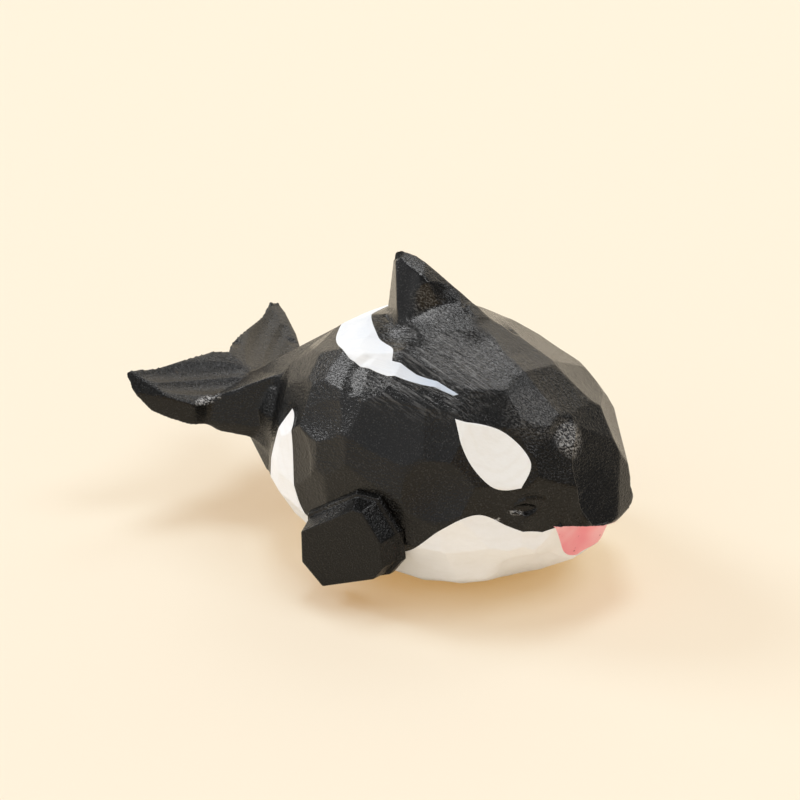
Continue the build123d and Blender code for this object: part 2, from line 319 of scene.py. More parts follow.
def wood_fibre_group() -> NodeTree:
    """Pores and long fibres of wood that show through thin paint.

    Returns:
        The node group: pore height, streak height and a soft mottling mask.
    """
    tree, nodes, given, wanted = new_group(
        "wood_fibre",
        [PLACE, ("Pore Amount", FLOAT, 1.0), ("Streak Amount", FLOAT, 1.0)],
        [("Pores", FLOAT), ("Streaks", FLOAT), ("Mottle", FLOAT)],
    )
    position = given["Position"]
    pores = nodes.math("MULTIPLY", PORES.mask(nodes, position), given["Pore Amount"])
    streaks = nodes.math("MULTIPLY", FIBRES.mask(nodes, position), given["Streak Amount"])
    nodes.link(pores, wanted["Pores"])
    nodes.link(streaks, wanted["Streaks"])
    nodes.link(MOTTLE.mask(nodes, position), wanted["Mottle"])
    return tree


def edge_wear_group() -> NodeTree:
    """Where a ridge has been rubbed, broken up by noise.

    Returns:
        The node group, with a wear mask.
    """
    tree, nodes, given, wanted = new_group(
        "edge_wear",
        [PLACE, ("Sharpness", FLOAT, 0.5), ("Amount", FLOAT, 1.0)],
        [("Wear", FLOAT)],
    )
    ridge = nodes.remap(given["Sharpness"], *WORN_RIDGE)
    worn = nodes.math("MULTIPLY", ridge, WORN_PATCHES.mask(nodes, given["Position"]))
    nodes.link(nodes.math("MULTIPLY", worn, given["Amount"], clamp=True), wanted["Wear"])
    return tree


def paint_marks_group() -> NodeTree:
    """Masks of the black paint: fine specks that stand for dust and painted micro-glints, slanted brush
    strokes that carry a painted highlight, and scratch marks in which painted glints show.

    Returns:
        The node group, with a mask for each.
    """
    tree, nodes, given, wanted = new_group(
        "paint_marks",
        [PLACE],
        [("Dust And Glints", FLOAT), ("Strokes", FLOAT), ("Glint Scratches", FLOAT)],
    )
    position = given["Position"]
    nodes.link(DUST_AND_GLINT_SPECKS.mask(nodes, position), wanted["Dust And Glints"])
    nodes.link(BRUSH_STROKE_SHEEN.mask(nodes, nodes.place(position, turn=BRUSH_TURN)), wanted["Strokes"])
    nodes.link(GLINT_SCRATCHES.mask(nodes, position), wanted["Glint Scratches"])
    return tree


def wood_rings_group() -> NodeTree:
    """Growth rings of the wood around one centre, flattened a little.

    Returns:
        The node group, with a mask of the rings.
    """
    flattening, shows_between = (1.0, 1.0, 0.8), (0.55, 1.0)
    settings = {"Scale": 210, "Distortion": 3.5, "Detail": 2.0, "Detail Scale": 2.0}
    tree, nodes, given, wanted = new_group(
        "wood_rings",
        [PLACE, ("Shift", POINT, (0, 0, 0))],
        [("Rings", FLOAT)],
    )
    wave = nodes.add("ShaderNodeTexWave", wave_type="RINGS", rings_direction="SPHERICAL")
    nodes.link(nodes.place(given["Position"], flattening, shift=given["Shift"]), wave.inputs["Vector"])
    for name, value in settings.items():
        wave.inputs[name].default_value = value
    nodes.link(nodes.remap(wave.outputs["Fac"], *shows_between), wanted["Rings"])
    return tree


def spot_mask_group() -> NodeTree:
    """A soft-edged ellipsoid around one place.

    Returns:
        The node group, with a mask that is 1 inside the ellipsoid.
    """
    tree, nodes, given, wanted = new_group(
        "spot_mask",
        [PLACE, ("Centre", POINT, (0, 0, 0)), ("Reach", POINT, (1, 1, 1)), ("Edge", FLOAT, 0.3)],
        [("Mask", FLOAT)],
    )
    away = nodes.add("ShaderNodeVectorMath", operation="SUBTRACT")
    nodes.link(given["Position"], away.inputs[0])
    nodes.link(given["Centre"], away.inputs[1])
    share = nodes.add("ShaderNodeVectorMath", operation="DIVIDE")
    nodes.link(away.outputs[0], share.inputs[0])
    nodes.link(given["Reach"], share.inputs[1])
    length = nodes.add("ShaderNodeVectorMath", operation="LENGTH")
    nodes.link(share.outputs[0], length.inputs[0])
    inside = nodes.math("SUBTRACT", 1.0, length.outputs["Value"])
    mask = nodes.math("DIVIDE", inside, given["Edge"], clamp=True)
    nodes.link(mask, wanted["Mask"])
    return tree


@dataclass
class Effects:
    """The node groups that every finish shares."""

    fibre: NodeTree = field(default_factory=wood_fibre_group)
    wear: NodeTree = field(default_factory=edge_wear_group)
    marks: NodeTree = field(default_factory=paint_marks_group)
    rings: NodeTree = field(default_factory=wood_rings_group)
    spot: NodeTree = field(default_factory=spot_mask_group)


@dataclass
class Surface:
    """One material under construction."""

    name: str

    def __post_init__(self) -> None:
        """Create the material with its shader and coordinates."""
        self.material = bpy.data.materials.new(self.name)
        self.material.use_nodes = True
        self.nodes = Nodes(self.material.node_tree)
        self.shader = self.material.node_tree.nodes["Principled BSDF"]
        self.position = self.nodes.add("ShaderNodeTexCoord").outputs["Object"]

    def group(self, tree: NodeTree, **values: object) -> dict:
        """Place a node group.

        Args:
            tree: The group.
            values: Inputs by name, with underscores for spaces.

        Returns:
            Its outputs by name.
        """
        node = self.nodes.add("ShaderNodeGroup")
        node.node_tree = tree
        for name, value in values.items():
            self.nodes.feed(node.inputs[name.replace("_", " ")], value)
        return dict(node.outputs.items())

    def bump(self, height: object, depth: Pair, under: object = None) -> object:
        """A bump of a real depth.

        Args:
            height: Height socket from 0 to 1.
            depth: What a height of 1 stands for, in millimetres, and the strength of the effect.
            under: Normal to build on.

        Returns:
            The normal socket.
        """
        node = self.nodes.add("ShaderNodeBump")
        node.inputs["Distance"].default_value = depth[0] * MM
        node.inputs["Strength"].default_value = depth[1]
        self.nodes.link(height, node.inputs["Height"])
        if under is not None:
            self.nodes.link(under, node.inputs["Normal"])
        return node.outputs[0]

    def dress(self, **values: object) -> Material:
        """Feed the shader and hand over the material.

        Args:
            values: Sockets or plain values by input, with underscores for spaces.

        Returns:
            The material.
        """
        for name, value in values.items():
            self.nodes.feed(self.shader.inputs[name.replace("_", " ")], value)
        return self.material


@dataclass(frozen=True)
class Spot:
    """One soft-edged patch of a paint, in millimetres; the edge is the share of it that fades."""

    centre: Triple
    reach: Triple
    amount: float = 1.0
    edge: float = 0.4

    def mask(self, surface: Surface, effects: Effects) -> object:
        """The patch's mask in a material.

        Args:
            surface: The material under construction.
            effects: The shared node groups.

        Returns:
            The mask's socket.
        """
        inside = surface.group(effects.spot, Position=surface.position, Centre=scaled(self.centre),
                               Reach=scaled(self.reach), Edge=self.edge)["Mask"]
        return surface.nodes.math("MULTIPLY", inside, self.amount)


@dataclass(frozen=True)
class BlackPaint:
    """Satin black paint, put on thinly with a brush over knife-cut wood.

    A bump is a depth in millimetres and a strength, and a gloss is the roughness at a mask's 0 and 1.
    The brush spot is where slanted brush strokes raise the fibre streaks and carry a painted highlight
    of light grey, and the glint spots hold painted glints and highlights as light grey scratch marks.
    """

    name: str
    tone: Colour = (0.0008, 0.0008, 0.0008)
    brown: Colour = (0.0028, 0.0023, 0.0016)
    thinness: float = 0.5
    # Grey of the specks, which stand for dust and for painted micro-glints.
    dust_and_glints: Colour = (0.026, 0.026, 0.026)
    bare: Colour = (0.23, 0.16, 0.095)
    # Light grey that is painted in as painted highlights and glints.
    painted_highlight_grey: Colour = (0.62, 0.62, 0.62)
    streaks: float = 1.0
    streak_range: Pair = (0.4, 2.0)
    pores: float = 1.0
    calm_pores: float = 0.25
    specular: float = 0.30
    gloss: Pair = (0.22, 0.11)
    gloss_drift: Pair = (-0.02, 0.03)
    bare_dull: float = 0.3
    worn: float = 0.10
    # Where brush strokes raise fibre streaks, and how strongly they are painted light grey there as a
    # painted highlight.
    brush_and_sheen: Spot = Spot((6, -15, 41), (19, 12, 9), edge=0.5)
    stroke_sheen_strength: float = 0.12
    nicks: tuple[Spot, ...] = ()
    calm: tuple[Spot, ...] = ()
    # Spots of painted glints and highlights.
    painted_highlight_spots: tuple[Spot, ...] = ()
    streak_bump: Pair = (0.045, 0.9)
    pore_bump: Pair = (0.055, 1.0)

    def spots(self, surface: Surface, effects: Effects, places: Sequence[Spot]) -> object:
        """A mask that covers several patches.

        Args:
            surface: The material under construction.
            effects: The shared node groups.
            places: The patches.

        Returns:
            The mask's socket, or 0 where there is no patch.
        """
        mask = 0.0
        for place in places:
            mask = surface.nodes.math("MAXIMUM", mask, place.mask(surface, effects))
        return mask

    def make(self, effects: Effects) -> Material:
        """Build the material.

        Args:
            effects: The shared node groups.

        Returns:
            The material.
        """
        surface = Surface(self.name)
        nodes, position = surface.nodes, surface.position
        brush_and_sheen = self.brush_and_sheen.mask(surface, effects)
        calm = nodes.remap(self.spots(surface, effects, self.calm), 0, 1, 1.0, self.calm_pores)
        streaks = nodes.remap(brush_and_sheen, 0, 1, *self.streak_range)
        fibre = surface.group(effects.fibre, Position=position,
                              Pore_Amount=nodes.math("MULTIPLY", calm, self.pores),
                              Streak_Amount=nodes.math("MULTIPLY", streaks, self.streaks))
        ridges = nodes.add("ShaderNodeNewGeometry").outputs["Pointiness"]
        wear = surface.group(effects.wear, Position=position, Sharpness=ridges, Amount=self.worn)["Wear"]
        bare = nodes.math("MAXIMUM", wear, self.spots(surface, effects, self.nicks))
        marks = surface.group(effects.marks, Position=position)
        # Painted highlight: the brush strokes in the brush spot turn light grey.
        strength = nodes.math("MULTIPLY", brush_and_sheen, self.stroke_sheen_strength)
        strokes = nodes.math("MULTIPLY", marks["Strokes"], strength)
        # Painted glints and highlights: light grey scratch marks in the glint spots.
        painted_highlight_spots = self.spots(surface, effects, self.painted_highlight_spots)
        painted_glint_scratches = nodes.math("MULTIPLY", painted_highlight_spots, marks["Glint Scratches"])
        colour = nodes.mix(nodes.math("MULTIPLY", fibre["Mottle"], self.thinness), self.tone, self.brown)
        # Grey specks: dust and painted micro-glints.
        colour = nodes.mix(marks["Dust And Glints"], colour, self.dust_and_glints)
        # The painted highlight and the painted glints go into the colour.
        colour = nodes.mix(strokes, colour, self.painted_highlight_grey)
        colour = nodes.mix(painted_glint_scratches, colour, self.painted_highlight_grey)
        colour = nodes.mix(bare, colour, self.bare)
        rough = nodes.math("ADD", nodes.remap(fibre["Pores"], 0, 1, *self.gloss),
                           nodes.remap(fibre["Mottle"], 0, 1, *self.gloss_drift))
        rough = nodes.math("ADD", rough, nodes.math("MULTIPLY", bare, self.bare_dull), clamp=True)
        normal = surface.bump(fibre["Streaks"], self.streak_bump)
        normal = surface.bump(fibre["Pores"], self.pore_bump, normal)
        return surface.dress(Base_Color=colour, Roughness=rough, Normal=normal,
                             Specular_IOR_Level=self.specular)


@dataclass(frozen=True)
class WhitePaint:
    """Matt white paint in visible brush strokes, with faint wood rings under it.

    The rings have their centre in millimetres. Towards the end of the saddle's brush stroke the paint
    gets thinner, over a span along the body in metres.
    """

    name: str
    tone: Colour = (0.87, 0.87, 0.865)
    thin: Colour = (0.74, 0.73, 0.71)
    mottled: float = 0.22
    streaked: float = 0.10
    ring_centre: Triple = (0, 0, 0)
    rings: float = 0.0
    stroke: float = 0.0
    stroke_span: Pair = (-0.001, 0.009)
    gloss: Pair = (0.5, 0.62)
    streak_bump: Pair = (0.03, 0.5)

    def make(self, effects: Effects) -> Material:
        """Build the material.

        Args:
            effects: The shared node groups.

        Returns:
            The material.
        """
        surface = Surface(self.name)
        nodes = surface.nodes
        fibre = surface.group(effects.fibre, Position=surface.position)
        shift = scaled(-part for part in self.ring_centre)
        rings = surface.group(effects.rings, Position=surface.position, Shift=shift)["Rings"]
        rings = nodes.math("MULTIPLY", rings, self.rings)
        thinness = nodes.math("ADD", nodes.math("MULTIPLY", fibre["Mottle"], self.mottled),
                              nodes.math("MULTIPLY", fibre["Streaks"], self.streaked))
        thinness = nodes.math("ADD", thinness, rings, clamp=True)
        if self.stroke:
            along = nodes.add("ShaderNodeSeparateXYZ")
            nodes.link(surface.position, along.inputs[0])
            runs_out = nodes.remap(along.outputs["X"], *self.stroke_span, 0.0, self.stroke)
            thinness = nodes.math("ADD", thinness, runs_out, clamp=True)
        return surface.dress(Base_Color=nodes.mix(thinness, self.tone, self.thin),
                             Roughness=nodes.remap(fibre["Mottle"], 0, 1, *self.gloss),
                             Normal=surface.bump(fibre["Streaks"], self.streak_bump))


@dataclass(frozen=True)
class PinkPaint:
    """Pink mouth paint with a few dark specks."""

    name: str = "pink_mouth_paint"
    tone: Colour = (0.90, 0.30, 0.37)
    light: Colour = (0.94, 0.50, 0.56)
    speck: Colour = (0.38, 0.06, 0.07)
    specks_per_metre: float = 900
    speck_span: Pair = (0.10, 0.20)
    gloss: Pair = (0.42, 0.55)
    pore_bump: Pair = (0.03, 0.6)

    def make(self, effects: Effects) -> Material:
        """Build the material.

        Args:
            effects: The shared node groups.

        Returns:
            The material.
        """
        surface = Surface(self.name)
        nodes = surface.nodes
        fibre = surface.group(effects.fibre, Position=surface.position)
        cells = nodes.add("ShaderNodeTexVoronoi", feature="F1")
        nodes.link(surface.position, cells.inputs["Vector"])
        cells.inputs["Scale"].default_value = self.specks_per_metre
        specks = nodes.remap(cells.outputs["Distance"], *self.speck_span, 1.0, 0.0)
        specks = nodes.math("MULTIPLY", specks, SPECKED_AREAS.mask(nodes, surface.position))
        colour = nodes.mix(fibre["Mottle"], self.tone, self.light)
        return surface.dress(Base_Color=nodes.mix(specks, colour, self.speck),
                             Roughness=nodes.remap(fibre["Mottle"], 0, 1, *self.gloss),
                             Normal=surface.bump(fibre["Pores"], self.pore_bump))


@dataclass(frozen=True)
class DowelWood:
    """Bare hardwood dowel, with fine grain along its length."""

    name: str = "bare_dowel_wood"
    pale: Colour = (0.60, 0.42, 0.24)
    dark: Colour = (0.42, 0.27, 0.14)
    grain_turn: Triple = (0, 0, 90)
    gloss: Pair = (0.55, 0.7)
    streak_bump: Pair = (0.03, 0.5)

    def make(self, effects: Effects) -> Material:
        """Build the material.

        Args:
            effects: The shared node groups.

        Returns:
            The material.
        """
        surface = Surface(self.name)
        nodes = surface.nodes
        fibre = surface.group(effects.fibre, Position=nodes.place(surface.position, turn=self.grain_turn))
        return surface.dress(Base_Color=nodes.mix(fibre["Streaks"], self.pale, self.dark),
                             Roughness=nodes.remap(fibre["Pores"], 0, 1, *self.gloss),
                             Normal=surface.bump(fibre["Streaks"], self.streak_bump))


# Mesh building


def scaled(point: Iterable[float]) -> tuple[float, ...]:
    """Millimetres to metres."""
    return tuple(part * MM for part in point)


def shape_of(mesh: Mesh) -> bmesh.types.BMesh:
    """A shape to edit, read from a mesh."""
    shape = bmesh.new()
    shape.from_mesh(mesh)
    return shape


def mesh_of(shape: bmesh.types.BMesh, name: str) -> Mesh:
    """A new mesh from an edited shape.

    Args:
        shape: The shape; it is freed.
        name: Name of the mesh.

    Returns:
        The mesh.
    """
    mesh = bpy.data.meshes.new(name)
    shape.to_mesh(mesh)
    shape.free()
    return mesh


def add_object(name: str, data: ID) -> Object:
    """Put a mesh, a lamp or a camera into the scene, at the origin.

    Args:
        name: Name of the object.
        data: What it holds.

    Returns:
        The object.
    """
    made = bpy.data.objects.new(name, data)
    bpy.context.scene.collection.objects.link(made)
    return made


def merged_copy(name: str, source: Object, puff_mm: float = 0.0) -> Object:
    """A copy of a CAD solid with its loose triangles merged.

    Args:
        name: Name of the copy.
        source: The CAD object.
        puff_mm: How far the copy grows outward.

    Returns:
        The copy.
    """
    shape = shape_of(source.data)
    bmesh.ops.remove_doubles(shape, verts=shape.verts, dist=WELD * MM)
    shape.normal_update()
    for vert in shape.verts:
        vert.co += vert.normal * puff_mm * MM
    return add_object(name, mesh_of(shape, name))


def discard(thing: Object) -> None:
    """Remove a helper object and its mesh."""
    mesh = thing.data
    bpy.data.objects.remove(thing)
    bpy.data.meshes.remove(mesh)


def evaluated(thing: Object, name: str) -> Mesh:
    """The mesh of an object with its modifiers applied.

    Args:
        thing: The object.
        name: Name of the new mesh.

    Returns:
        The mesh.
    """
    graph = bpy.context.evaluated_depsgraph_get()
    graph.update()
    mesh = bpy.data.meshes.new_from_object(thing.evaluated_get(graph), depsgraph=graph)
    mesh.name = name
    return mesh


def open_edges(mesh: Mesh) -> int:
    """Count the edges that don't join exactly two faces.

    Args:
        mesh: The mesh.

    Returns:
        Their number.
    """
    shape = shape_of(mesh)
    count = sum(not edge.is_manifold for edge in shape.edges)
    shape.free()
    return count


def combined(base: Mesh, cuts: Sequence[tuple[str, Object]], name: str) -> Mesh:
    """A closed mesh after Boolean steps.

    Args:
        base: The closed mesh to start from; it stays as it is.
        cuts: Operation and closed object of each step; the objects are removed.
        name: Name of the new mesh.

    Returns:
        The result.
    """
    helper = add_object(name + "_helper", base)
    for number, (operation, other) in enumerate(cuts):
        modifier = helper.modifiers.new(f"step_{number}", "BOOLEAN")
        modifier.operation = operation
        modifier.solver = "MANIFOLD"
        modifier.object = other
    result = evaluated(helper, name)
    bpy.data.objects.remove(helper)
    for _, other in cuts:
        discard(other)
    return result


def remeshed(mesh: Mesh, cell_mm: float, name: str) -> Mesh:
    """An even fine mesh over the same form, with its ridges kept.

    The cells grow a little until the mesh comes out closed, or the best of the tries is taken.

    Args:
        mesh: The form; it is removed.
        cell_mm: Size of the new faces.
        name: Name of the new mesh.

    Returns:
        The fine mesh.
    """
    tries, growth, filled = 8, 0.012, 0.99
    places = np.array([vert.co for vert in mesh.vertices])
    reach = float((places.max(0) - places.min(0)).max()) / MM
    helper = add_object(name + "_helper", mesh)
    modifier = helper.modifiers.new("fine", "REMESH")
    modifier.mode = "SHARP"
    modifier.octree_depth = math.ceil(math.log2(reach / cell_mm / filled))
    best = None
    for step in range(tries):
        cell = cell_mm * (1 + growth * step)
        modifier.scale = reach / cell / 2**modifier.octree_depth
        fine = evaluated(helper, name)
        fault = open_edges(fine)
        if best is None or fault < best[0]:
            best = (fault, cell, fine)
        if fault == 0:
            break
    fault, cell, fine = best
    LOG.info("%s: cell %.3f mm, %d open edges", name, cell, fault)
    discard(helper)
    return fine


def thinned(mesh: Mesh, most: int, name: str) -> Mesh:
    """The same form with fewer triangles where it is flat.

    Args:
        mesh: The fine mesh; it is removed.
        most: About how many triangles to keep.
        name: Name of the new mesh.

    Returns:
        The lighter mesh.
    """
    helper = add_object(name + "_helper", mesh)
    triangles = sum(len(face.vertices) - 2 for face in mesh.polygons)
    modifier = helper.modifiers.new("thin", "DECIMATE")
    modifier.ratio = min(1.0, most / triangles)
    light = evaluated(helper, name)
    LOG.info("%s: %d triangles thinned to %d, %d open edges", name, triangles, len(light.polygons),
             open_edges(light))
    discard(helper)
    return light


def path_distance(places: np.ndarray, path: Sequence[Sequence[float]]) -> np.ndarray:
    """Distance of each place from a path.

    Args:
        places: The places, in millimetres.
        path: Corners of the path.

    Returns:
        One distance for each place.
    """
    corners = np.asarray(path, float).reshape(-1, 3)
    starts, stops = (corners[:-1], corners[1:]) if len(corners) > 1 else (corners, corners)
    distance = np.full(len(places), np.inf)
    for start, stop in zip(starts, stops):
        span = stop - start
        # The small number keeps a path of one place from dividing by zero.
        along = (places - start) @ span / max(span @ span, 1e-9)
        nearest = start + np.clip(along, 0, 1)[:, None] * span
        distance = np.minimum(distance, np.linalg.norm(places - nearest, axis=1))
    return distance


@dataclass(frozen=True)
class Blend:
    """One inner corner that is blended along a path, as sandpaper does.

    The reach gets narrower over the passes, in all by the narrowing's share.
    """

    path: Path
    reach: float
    passes: int
    narrowing: float = 0.6


@dataclass(frozen=True)
class Mark:
    """One soft groove along a path, fading over its width; a negative depth raises a ridge."""

    path: Path
    width: float
    depth: float


@dataclass(frozen=True)
class Shaving:
    """One small flat facet that faces outward and passes below its centre by the depth.

    The blade reaches as far as the radius, and the cut runs out over the fade's share of that.
    """

    centre: Triple
    out: Triple
    radius: float
    depth: float
    fade: float = 0.3


@dataclass(frozen=True)
class Gouging:
    """One shallow oval stroke of a curved blade, with its half length and half width."""

    centre: Sequence[float]
    out: Sequence[float]
    along: Sequence[float]
    half: Pair
    depth: float


@dataclass(frozen=True)
class Scoop:
    """One stroke on the trunk's right flank, by its station x and its roll, 90 degrees at the top."""

    x: float
    roll: float
    half: Pair
    depth: float
    twist: float


def softened(mesh: Mesh, blends: Sequence[Blend]) -> None:
    """Blend the inner corners of a fine mesh along some paths.

    Args:
        mesh: The mesh to change.
        blends: Where and how much.
    """
    shape = shape_of(mesh)
    shape.verts.ensure_lookup_table()
    places = np.array([vert.co for vert in shape.verts]) / MM
    for blend in blends:
        distance = path_distance(places, blend.path)
        for step in range(blend.passes):
            near = blend.reach * (1.0 - blend.narrowing * step / blend.passes)
            verts = [shape.verts[index] for index in np.flatnonzero(distance < near)]
            bmesh.ops.smooth_vert(shape, verts=verts, factor=0.5, use_axis_x=True, use_axis_y=True,
                                  use_axis_z=True)
    shape.to_mesh(mesh)
    shape.free()


def smoothed(mesh: Mesh, passes: int) -> None:
    """Round the ridges of a whole fine mesh a little."""
    softened(mesh, [Blend(((0, 0, 0),), math.inf, passes)])


@dataclass
class FineForm:
    """Vertex places of a fine mesh, for sculpt-like moves in millimetres.

    A blade only touches places that face its way. A stroke's places lie within its reach in half
    lengths, and no further off its plane than its depth and the slack.
    """

    mesh: Mesh
    facing: float = 0.6
    stroke_reach: float = 1.7
    slack: float = 0.4

    def __post_init__(self) -> None:
        """Read the places and normals."""
        count = len(self.mesh.vertices)
        self.places = np.empty(count * 3)
        self.mesh.vertices.foreach_get("co", self.places)
        self.places = self.places.reshape(-1, 3) / MM
        self.read_normals()

    def read_normals(self) -> None:
        """Read the vertex normals from the mesh."""
        flat = np.empty(len(self.mesh.vertices) * 3, dtype=np.float32)
        self.mesh.vertex_normals.foreach_get("vector", flat)
        self.normals = flat.reshape(-1, 3).astype(float)

    def scoop(self, stroke: Gouging) -> None:
        """Cut one shallow oval stroke.

        Args:
            stroke: Where it runs and how deep.
        """
        centre, out, along = (np.asarray(part, float) for part in (stroke.centre, stroke.out, stroke.along))
        out = out / np.linalg.norm(out)
        along = along - out * (along @ out)
        along = along / np.linalg.norm(along)
        across = np.cross(out, along)
        half, depth = stroke.half, stroke.depth
        away = self.places - centre
        near = np.linalg.norm(away, axis=1) < self.stroke_reach * max(half)
        near &= (self.normals @ out > self.facing) & (np.abs(away @ out) < depth + self.slack)
        local = away[near]
        height = local @ out
        floor = depth * ((local @ along / half[0]) ** 2 + (local @ across / half[1]) ** 2 - 1.0)
        lowered = np.minimum(height, floor) - height
        self.places[near] += lowered[:, None] * out

    def flat_cut(self, shaving: Shaving) -> None:
        """Shave one small facet.

        Args:
            shaving: Where it lies and how deep.
        """
        centre, out = np.asarray(shaving.centre, float), np.asarray(shaving.out, float)
        out = out / np.linalg.norm(out)
        away = self.places - centre
        distance = np.linalg.norm(away, axis=1)
        near = (distance < shaving.radius) & (self.normals @ out > self.facing)
        height = away[near] @ out
        ease_out = np.clip((1.0 - distance[near] / shaving.radius) / shaving.fade, 0.0, 1.0)
        lowered = (np.minimum(height, -shaving.depth) - height) * ease_out
        self.places[near] += lowered[:, None] * out

    def groove(self, mark: Mark) -> None:
        """Press a soft groove, or raise a ridge."""
        distance = path_distance(self.places, mark.path)
        self.places -= self.normals * (mark.depth * np.exp(-((distance / mark.width) ** 2)))[:, None]

    def write(self) -> None:
        """Write the places back to the mesh."""
        self.mesh.vertices.foreach_set("co", (self.places * MM).astype(np.float32).ravel())
        self.mesh.update()
        self.read_normals()


def kept_on_floor(mesh: Mesh) -> None:
    """Lift what lies below the floor onto it.

    Args:
        mesh: The mesh to change.
    """
    form = FineForm(mesh)
    form.places[:, 2] = np.maximum(form.places[:, 2], 0.0)
    form.write()


def soft_shading(mesh: Mesh, sharp_degrees: float) -> None:
    """Smooth shading, with the edges that turn by more than the angle kept sharp."""
    mesh.shade_smooth()
    mesh.set_sharp_from_angle(angle=math.radians(sharp_degrees))


def finished(piece: Object, material: Material, nodes: Sequence[str]) -> None:
    """Dress a piece, attach it to the root body and hide the CAD nodes that it replaces.

    Args:
        piece: The piece.
        material: Its material.
        nodes: The CAD nodes that it replaces.
    """
    piece.data.materials.clear()
    piece.data.materials.append(material)
    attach(piece, "root")
    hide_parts(*nodes)
    LOG.info("%s: %d faces", piece.name, len(piece.data.polygons))


def spline_through(points: Curve, steps: int = 10) -> Curve:
    """Points of a smooth curve that passes through given ones.

    Args:
        points: The points to pass through.
        steps: How many pieces each span gets.

    Returns:
        The curve's points, without the last.
    """
    ends = [points[0], *points, points[-1]]
    curve = []
    for corners in zip(ends, ends[1:], ends[2:], ends[3:]):
        for t in (step / steps for step in range(steps)):
            curve.append(tuple(
                0.5 * (2 * b + (c - a) * t + (2 * a - 5 * b + 4 * c - d) * t * t
                       + (3 * b - a - 3 * c + d) * t**3)
                for a, b, c, d in zip(*corners)
            ))
    return tuple(curve)


@dataclass(frozen=True)
class Outline:
    """A closed outline in millimetres, pushed over a span of the axis 0, 1 or 2 into a cutter."""

    points: tuple[Pair, ...]
    axis: int
    span: Pair

    def cutter(self, name: str) -> Object:
        """The solid cutter.

        Args:
            name: Name of the object.

        Returns:
            The object.
        """
        shape = bmesh.new()
        corners = []
        for first, second in self.points:
            place = [first, second]
            place.insert(self.axis, self.span[0])
            corners.append(shape.verts.new(scaled(place)))
        face = shape.faces.new(corners)
        push = [0.0, 0.0, 0.0]
        push[self.axis] = (self.span[1] - self.span[0]) * MM
        grown = bmesh.ops.extrude_face_region(shape, geom=[face], use_keep_orig=True)
        moved = [part for part in grown["geom"] if isinstance(part, bmesh.types.BMVert)]
        bmesh.ops.translate(shape, verts=moved, vec=push)
        bmesh.ops.recalc_face_normals(shape, faces=shape.faces)
        return add_object(name, mesh_of(shape, name))


# The carved block


def on_both(shape: Blend | Mark) -> tuple[Blend | Mark, Blend | Mark]:
    """A shape of the right flank, and its mirror image."""
    return shape, replace(shape, path=tuple((x, -y, z) for x, y, z in shape.path))


def lobe_strokes(side: int) -> tuple[Gouging, ...]:
    """The gouge strokes that hollow the top of one fluke lobe.

    Args:
        side: 1 for the left lobe and -1 for the right.

    Returns:
        The strokes.
    """
    out = (0.48, 0.08 * side, 0.87)
    along = (-0.42, 0.90 * side, 0.16)
    return (
        Gouging((-48.0, 10.8 * side, 25.5), out, along, (9.5, 2.3), 0.45),
        Gouging((-45.2, 11.5 * side, 24.0), out, along, (8.5, 2.3), 0.50),
    )


